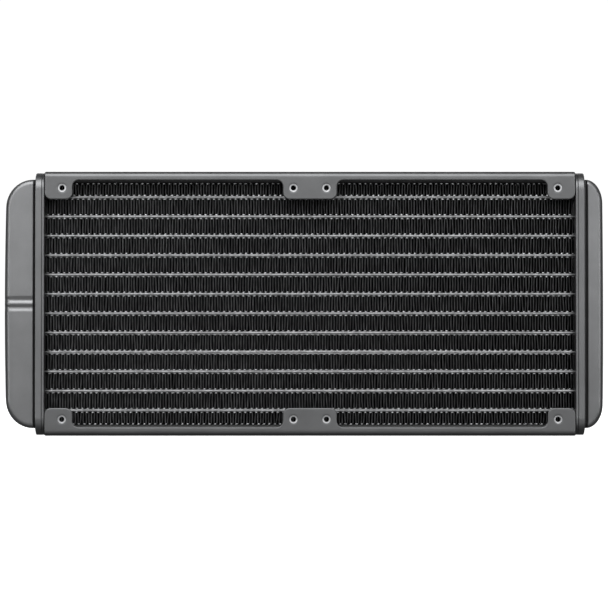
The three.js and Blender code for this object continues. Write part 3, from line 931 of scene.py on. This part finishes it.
def header_plate():
    plate = add_block("right_header", plate_low, plate_high)
    centre = (0, 0, MIDDLE)
    groove_x = plate_low.x + GROOVE_PLACE
    with editing(plate):
        pick("EDGE", lambda place, way: abs(way.x) > 0.9)
        bpy.ops.mesh.bevel(offset=PLATE_CORNER, segments=8)
        pick("FACE", lambda place, way: way.x > 0.9)
        bpy.ops.mesh.inset(thickness=PLATE_WALL)
        depth = plate_low.x + PLATE_WALL - plate_high.x
        bpy.ops.mesh.extrude_region_move(TRANSFORM_OT_translate={"value": (depth, 0, 0)})
        pick("EDGE", lambda place, way: at_mouth(place) and on_rim(place))
        bpy.ops.mesh.bevel(offset=RIM_ROUND, segments=3)
        pick("EDGE", lambda place, way: at_mouth(place) and not on_rim(place, 0.9 * PLATE_WALL))
        bpy.ops.mesh.bevel(offset=INNER_ROUND, segments=2)
        pick("EDGE", lambda place, way: near(place.x, plate_low.x) and abs(way.x) < 0.5)
        bpy.ops.mesh.bevel(offset=FLOOR_ROUND, segments=3)
        cut_levels(0, [groove_x - GROOVE_HALF, groove_x, groove_x + GROOVE_HALF])
        pick("VERT", lambda place, way: near(place.x, groove_x) and on_rim(place))
        shrink_y = 1 - GROOVE_DEPTH / plate_high.y
        shrink_z = 1 - GROOVE_DEPTH / (plate_high.z - MIDDLE)
        bpy.ops.transform.resize(value=(1, shrink_y, shrink_z), center_override=centre)
    slots = [flat_tube("slot", SLOT_GAP)]
    for index in range(1, TUBE_COUNT):
        slots.append(copy_of(slots[0], "slot", (0, 0, index * TUBE_PITCH)))
    combine(plate, joined(slots), "DIFFERENCE")
    return plate


right_header = header_plate()
left_header = mirrored(right_header, "left_header", 0)
finish_piece(right_header, [header_paint], "frame_paint", "right_header_plate")
finish_piece(left_header, [header_paint], "frame_paint", "left_header_plate")

# %% [markdown]
# ## The end tanks
#
# A tank is drawn from sheet: a long box with big round ends, softly rounded faces, and an end wall
# that bows out a little. Near the core its faces turn in to a narrower neck, which stands on a foot
# inside the header plate. The box is a block whose end edges are bevelled, then its outline. For a
# corner that is longer one way than the other, the block is stretched, bevelled and squeezed back.
# Cuts across it give levels that can be moved: the end wall outwards, the neck inwards, the front
# face back towards its ends, and the pair of creases over the inlet tank's inner wall.

# %% The body of a tank
FACE_ROUND = 2.4 * MM
NECK_INSET = 1.35 * MM
NECK_STEP = 0.3 * MM
EDGE_TURN = 0.8 * MM  # radius of the faces' edge towards the core
BODY_INSET = 3.05 * MM
TANK_WALL = 0.75 * MM
FOOT_GAP = 0.1 * MM
FOOT_START = plate_low.x + PLATE_WALL + FOOT_GAP
RIM_X = plate_high.x
BODY_Y = plate_high.y - BODY_INSET
BODY_LOW = plate_low.z + BODY_INSET
BODY_HIGH = plate_high.z - BODY_INSET
LEVEL_STEP = 9 * MM
FRONT_CROWN = 1.2 * MM  # by which the front face falls back towards its ends
# The two creases lie above and below the wall between the inlet's and the outlet's half
CREASE_RIDGE = 0.15 * MM
CREASE_DEEPEST = 1.7 * MM
CREASE_END = 3.8 * MM
CREASE_DEPTH = 0.5 * MM
CREASE_STEPS = 4


def crease_depth(away):
    """How deep the crease is at a height over or under the partition."""
    if away < CREASE_RIDGE or away > CREASE_END:
        return 0
    if away < CREASE_DEEPEST:
        share = (away - CREASE_RIDGE) / (CREASE_DEEPEST - CREASE_RIDGE)
    else:
        share = (CREASE_END - away) / (CREASE_END - CREASE_DEEPEST)
    return CREASE_DEPTH * math.sin(share * math.pi / 2) ** 2


def crease_levels():
    levels = []
    for step in range(CREASE_STEPS + 1):
        share = step / CREASE_STEPS
        inner = CREASE_RIDGE + share * (CREASE_DEEPEST - CREASE_RIDGE)
        outer = CREASE_DEEPEST + share * (CREASE_END - CREASE_DEEPEST)
        levels += [inner, outer]
    return sorted(set(round(level, 7) for level in levels))


def scale_depth(test, ratio):
    """Narrows everything that passes the test towards the middle of the radiator's depth."""
    if pick("VERT", test):
        bpy.ops.transform.resize(value=(1, ratio, 1), center_override=(0, 0, 0))


def past_foot_start(place):
    return place.x > FOOT_START + 0.1 * MM


def tank_body(name, reach, corner_x, corner_z, bow, groove, creased):
    """The outside of a tank, as a solid. The groove is the neck's length beyond the header plate."""
    end = RIM_X + reach - bow
    body = add_block(name, (FOOT_START, -BODY_Y, BODY_LOW), (end, BODY_Y, BODY_HIGH))
    stretch = corner_z / corner_x
    straight = (BODY_HIGH - BODY_LOW) / 2 - corner_z
    with editing(body):
        bpy.ops.mesh.select_all(action="SELECT")
        bpy.ops.transform.resize(value=(stretch, 1, 1), center_override=(end, 0, 0))
        pick("EDGE", lambda place, way: abs(way.y) > 0.9 and near(place.x, end))
        bpy.ops.mesh.bevel(offset=corner_z, segments=12)
        bpy.ops.mesh.select_all(action="SELECT")
        bpy.ops.transform.resize(value=(1 / stretch, 1, 1), center_override=(end, 0, 0))
        pick("EDGE", lambda place, way: near(abs(place.y), BODY_Y) and past_foot_start(place))
        bpy.ops.mesh.bevel(offset=FACE_ROUND, segments=7)
        levels = [MIDDLE + index * LEVEL_STEP for index in range(-5, 6)]
        if creased:
            levels += [MIDDLE + way * away for away in crease_levels() for way in (-1, 1)]
        cut_levels(2, sorted(levels))
    for vertex in body.data.vertices:
        height = abs(vertex.co.z - MIDDLE) / (BODY_HIGH - MIDDLE)
        if vertex.co.y < 0:
            vertex.co.y *= 1 - FRONT_CROWN / BODY_Y * height * height
        away = abs(vertex.co.z - MIDDLE) / straight
        if away < 1:
            share = min(1, max(0, (vertex.co.x - end + FACE_ROUND) / FACE_ROUND))
            vertex.co.x += bow * (1 - away * away) * share
    with editing(body):
        turns = [math.pi / 2 * step / 4 for step in range(5)]
        places = [RIM_X + groove - EDGE_TURN * math.sin(turn) for turn in turns]
        places.append(places[-1] - NECK_STEP)
        cut_levels(0, places)
        for turn, x in zip(turns, places):
            width = BODY_Y - EDGE_TURN + EDGE_TURN * math.cos(turn)
            scale_depth(lambda place, way: near(place.x, x), width / BODY_Y)
        neck = (BODY_Y - NECK_INSET) / BODY_Y
        scale_depth(lambda place, way: place.x < places[-1] + 0.02 * MM, neck)
        if creased:
            for away in crease_levels():
                ratio = 1 - crease_depth(away) / BODY_Y
                scale_depth(
                    lambda place, way: near(abs(place.z - MIDDLE), away) and place.x > RIM_X, ratio
                )
    return body

# %% [markdown]
# ## The tank's wall, foot and mouth
#
# The body is a solid so far. Its core side is taken off and Solidify gives it a wall, so that it is
# the hollow pressing that it should be. A rounded plate joined to it makes the foot, and a slot cut
# through the foot lets the tubes in. The groove round the neck is darkened with the near-black paint
# as painted shade, so its faces get a second material. The inlet tank is made as a right-hand one
# and mirrored at the end.

# %% Tanks
FOOT_SIZE = 1.4 * MM  # between the foot and the header plate's outside
FOOT_THICKNESS = 1.75 * MM
MOUTH_HALF = core_high.y + 0.3 * MM
MOUTH_END = 10.55 * MM
MOUTH_CORNER = 1 * MM
MOUTH_BEFORE = 1 * MM  # of the cutter before the foot
MOUTH_BEHIND = 0.5 * MM  # and behind it
RETURN_TANK = {
    "reach": 8.7 * MM,
    "corner_x": 7.7 * MM,
    "corner_z": 11 * MM,
    "bow": 0.15 * MM,
    "groove": 2.15 * MM,
    "creased": False,
}
INLET_TANK = {
    "reach": 14.15 * MM,
    "corner_x": 12.3 * MM,
    "corner_z": 13 * MM,
    "bow": 0.45 * MM,
    "groove": 1.6 * MM,
    "creased": True,
}


def tank(name, shape):
    body = tank_body(name, **shape)
    with editing(body):
        pick("FACE", lambda place, way: way.x < -0.9 and not past_foot_start(place))
        bpy.ops.mesh.delete(type="FACE")
    modify(body, "SOLIDIFY", thickness=TANK_WALL, offset=-1)
    foot_low = (FOOT_START, plate_low.y + FOOT_SIZE, plate_low.z + FOOT_SIZE)
    foot_high = (FOOT_START + FOOT_THICKNESS, plate_high.y - FOOT_SIZE, plate_high.z - FOOT_SIZE)
    foot = add_block("foot", foot_low, foot_high)
    with editing(foot):
        pick("EDGE", lambda place, way: abs(way.x) > 0.9)
        bpy.ops.mesh.bevel(offset=PLATE_CORNER - FOOT_SIZE, segments=6)
    combine(body, foot, "UNION")
    mouth_low = (FOOT_START - MOUTH_BEFORE, -MOUTH_HALF, MOUTH_END)
    mouth_back = FOOT_START + FOOT_THICKNESS + MOUTH_BEHIND
    mouth_high = (mouth_back, MOUTH_HALF, 2 * MIDDLE - MOUTH_END)
    mouth = add_block("mouth", mouth_low, mouth_high)
    with editing(mouth):
        pick("EDGE", lambda place, way: abs(way.x) > 0.9)
        bpy.ops.mesh.bevel(offset=MOUTH_CORNER, segments=2)
    combine(body, mouth, "DIFFERENCE")
    paint_neck_shade(body, RIM_X + shape["groove"] - EDGE_TURN)
    return body


def paint_neck_shade(body, neck_end):
    """Painted shade: near-black paint on the faces in the groove round the neck, frame paint
    elsewhere.
    """
    body.data.materials.clear()
    body.data.materials.append(frame_paint)
    body.data.materials.append(dark_paint_and_shade)
    for face in body.data.polygons:
        # Painted shade: the groove's faces get the near-black paint.
        in_groove = abs(face.center.y) < BODY_Y - NECK_INSET / 2
        if in_groove and face.center.x < neck_end:
            face.material_index = 1


right_tank = tank("return_end_tank", RETURN_TANK)
finish_piece(right_tank, [], "frame_paint", "return_tank")
left_shape = tank("left_shape", INLET_TANK)
left_tank = mirrored(left_shape, "inlet_end_tank", 0)
bpy.data.objects.remove(left_shape)

# %% [markdown]
# ## Hose barbs
#
# Two barbs on the rear of the inlet tank take the hoses. A barb is a turned part, so it is made from
# a circle that is extruded and resized from station to station: collar, plain shank, three ridges
# that let a hose slide on but not off, and back down the bore. A hole for each is cut in the tank
# before it is finished.

# %% Barbs
BARB_BORE = 2.75 * MM
BARB_SHANK = 3.5 * MM
BARB_RIDGE = 4.25 * MM
BARB_COLLAR = 4.75 * MM
BARB_PLAIN = 2.8 * MM
RIDGE_PITCH = 3.4 * MM
RIDGE_LAND = 0.5 * MM
BARB_SIDES = 48
SOFT = 0.25 * MM  # rounding of the turned corners
SEAT_GAP = 0.1 * MM  # between the tank's rear face and the collar
COLLAR_LENGTH = 1.5 * MM
HOLE_RADIUS = BARB_SHANK + 0.3 * MM
HOLE_LENGTH = 14 * MM


def barb_stations(start, seat, collar_end, tip):
    stations = [(BARB_SHANK, start), (BARB_SHANK, seat)]
    stations += [(BARB_COLLAR - SOFT, seat), (BARB_COLLAR, seat + SOFT)]
    stations += [(BARB_COLLAR, collar_end - SOFT), (BARB_COLLAR - SOFT, collar_end)]
    stations += [(BARB_SHANK + SOFT, collar_end), (BARB_SHANK, collar_end + SOFT)]
    for ridge in range(3):
        place = collar_end + BARB_PLAIN + ridge * RIDGE_PITCH
        stations += [(BARB_SHANK, place), (BARB_RIDGE - SOFT / 2, place)]
        stations += [(BARB_RIDGE, place + SOFT / 2), (BARB_RIDGE, place + RIDGE_LAND)]
        stations += [(BARB_SHANK, place + RIDGE_PITCH)]
    stations += [(BARB_SHANK, tip - SOFT), (BARB_SHANK - SOFT, tip), (BARB_BORE + SOFT, tip)]
    stations += [(BARB_BORE, tip - SOFT), (BARB_BORE, start + 0.3 * MM)]
    return stations


for name, node in (("inlet_hose_barb", "inlet_barb"), ("outlet_hose_barb", "outlet_barb")):
    low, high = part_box(node)
    centre = ((low.x + high.x) / 2, 0, (low.z + high.z) / 2)
    seat = BODY_Y + SEAT_GAP
    stations = barb_stations(low.y, seat, seat + COLLAR_LENGTH, high.y)
    hole = turned("hole", centre, 1, [(HOLE_RADIUS, 0), (HOLE_RADIUS, HOLE_LENGTH)], HOLE_SIDES)
    combine(left_tank, hole, "DIFFERENCE")
    finish_piece(turned(name, centre, 1, stations, BARB_SIDES), [dark_paint_and_shade], "barb_paint", node)
finish_piece(left_tank, [], "frame_paint", "inlet_tank")

# %% [markdown]
# ## The partition
#
# The wall inside the inlet tank is right as it is in the frame, so it stays, and only gets its finish.

# %% Partition
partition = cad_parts["tank_partition"]
partition.data.materials.clear()
partition.data.materials.append(bare_metal)
print("partition dressed")

# %% [markdown]
# ## Floor and light
#
# A catalogue shot has a white ground that throws nothing back, so the floor is bright to the camera
# but unseen by the metal's reflections, and the room gives hardly any fill. So every edge that turns
# away from the lamps ends in a dark line. A large lamp high in front lays the soft highlight along the
# upper edges, a wide one straight in front lights the flat faces, and a narrow one at each side rounds
# the tanks. A weak lamp below reaches the lower edges through the floor, which holds no light back. A
# lamp behind lights the rear, and a soft sun evens out the whole.

# %% Stage
FLOOR_SIZE = 12.0
FLOOR_DROP = 0.05 * MM  # of the floor under the lowest face, so that the two don't flicker
FLOOR_GLOW = 0.92
WHITE = (1, 1, 1, 1)


def pale_floor():
    floor = Finish("pale_floor")
    mottle = floor.noise(3, 2.0, 0.5)
    colour = floor.blend(floor.step(mottle, 0.3, 0.7), floor.grey(0.84), floor.grey(0.86))
    return floor.set(
        Base_Color=colour, Roughness=0.9, Emission_Color=WHITE, Emission_Strength=FLOOR_GLOW
    )


bpy.ops.object.select_all(action="DESELECT")
bpy.ops.mesh.primitive_plane_add(size=FLOOR_SIZE, location=(0, 0, cad_low[2] - FLOOR_DROP))
floor = bpy.context.object
floor.name = "floor"
bpy.ops.object.transform_apply(location=True, rotation=True, scale=True)
floor.data.materials.append(pale_floor())
floor.visible_diffuse = False
floor.visible_glossy = False
floor.visible_shadow = False
floor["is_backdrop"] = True
print("floor laid", round(FLOOR_SIZE), "m wide")

# %% Lamps
# Where each lamp stands, what it looks at, its width and height, and its watts
LAMPS = {
    "key": ((-0.05, -0.4, 0.5), (0, 0, 0.08), (0.9, 0.5), 3.8),
    "front": ((0, -1.0, 0.16), (0, 0, 0.06), (1.2, 0.5), 2.1),
    "left_strip": ((-0.6, -0.55, 0.15), (-0.1, 0, 0.06), (0.2, 0.5), 1.0),
    "right_strip": ((0.6, -0.55, 0.15), (0.1, 0, 0.06), (0.2, 0.5), 1.0),
    "low": ((0, -0.5, -0.3), (0, 0, 0.04), (0.9, 0.3), 0.35),
    "rear": ((0.1, 0.9, 0.4), (0, 0, 0.06), (1.4, 0.6), 3.2),
}
SUN_POWER = 0.5
SUN_SPREAD = math.radians(35)
SUN_SIDE = Vector((-0.15, -0.7, 0.75))


def area_lamp(name, place, target, size, power):
    data = bpy.data.lights.new(name, "AREA")
    data.shape = "RECTANGLE"
    data.size, data.size_y = size
    data.energy = power
    lamp = bpy.data.objects.new(name, data)
    bpy.context.scene.collection.objects.link(lamp)
    lamp.location = place
    lamp.rotation_euler = (Vector(place) - Vector(target)).to_track_quat("Z", "Y").to_euler()
    lamp.visible_camera = False


for name, (place, target, size, power) in LAMPS.items():
    area_lamp(name, place, target, size, power)

sun_data = bpy.data.lights.new("sun", "SUN")
sun_data.energy = SUN_POWER
sun_data.angle = SUN_SPREAD
sun = bpy.data.objects.new("sun", sun_data)
bpy.context.scene.collection.objects.link(sun)
sun.rotation_euler = SUN_SIDE.to_track_quat("Z", "Y").to_euler()
print(len(LAMPS), "lamps and a sun")

# %% [markdown]
# ## The room
#
# The world is one white. A Light Path node tells a ray that comes from the camera from all others, so
# the ground behind the radiator can be white while the room adds only a little fill.

# %% Room
ROOM_FILL = 0.07
ROOM_SEEN = 1.05

world = bpy.data.worlds.new("studio")
world.use_nodes = True
bpy.context.scene.world = world
sky = world.node_tree.nodes["Background"]
sky.inputs["Color"].default_value = WHITE
path = world.node_tree.nodes.new("ShaderNodeLightPath")
seen = world.node_tree.nodes.new("ShaderNodeMapRange")
seen.inputs["To Min"].default_value = ROOM_FILL
seen.inputs["To Max"].default_value = ROOM_SEEN
world.node_tree.links.new(path.outputs["Is Camera Ray"], seen.inputs["Value"])
world.node_tree.links.new(seen.outputs["Result"], sky.inputs["Strength"])
bpy.context.scene.view_settings.view_transform = "Standard"
print("room fill", ROOM_FILL)

# %% Sizes of the frame and of what is shown
visual_low, visual_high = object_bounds()
sizes = {
    "cad": [list(cad_low), list(cad_high)],
    "visual": [list(visual_low), list(visual_high)],
}
for name, box in sizes.items():
    print(name, [[round(value / MM, 2) for value in corner] for corner in box])
